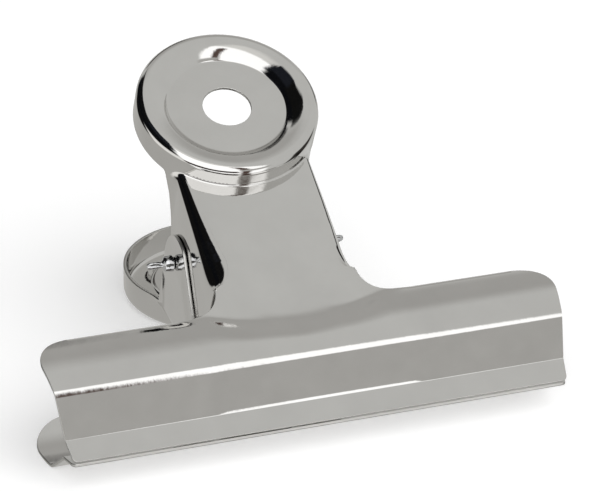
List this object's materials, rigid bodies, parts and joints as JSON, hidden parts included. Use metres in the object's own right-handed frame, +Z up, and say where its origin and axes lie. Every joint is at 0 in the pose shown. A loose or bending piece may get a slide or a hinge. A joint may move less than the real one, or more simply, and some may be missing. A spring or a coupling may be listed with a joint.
{
  "type": "bulldog letter clip",
  "caption": "Wide sheet-steel letter clip: sprung jaw halves that meet at bent lips, hinged on a cross pin, opened by squeezing dished round thumb discs with a hanging hole.",
  "frame": {"origin": "on the desk, under the middle of the clip's box, with the clip lying on its rear half", "axes": "+X along the jaws and the pin, +Y from the lips to the thumb discs, +Z up"},
  "size_m": [0.0774, 0.0686, 0.0431],
  "materials": {
    "nickel_plate": "bright nickel plate over pressed sheet steel, softly mirror-like",
    "pin_steel": "bright nickel-plated steel, ends swaged and flattened",
    "spring_steel": "drawn spring-steel wire, oil-tempered grey"
  },
  "bodies": {
    "rear_half": {"rear_plate": "nickel_plate", "pivot_pin": "pin_steel", "torsion_spring": "spring_steel"},
    "front_half": {"front_plate": "nickel_plate"}
  },
  "joints": [
    {"name": "jaw_hinge", "type": "hinge", "parent": "rear_half", "child": "front_half", "pos_m": [0, 0.00251, 0.01536], "axis": [-1, 0, 0], "range_deg": [0, 58], "stiffness_Nm_per_rad": 0.3, "springref_deg": -45.84, "deforming": ["torsion_spring"]}
  ]
}
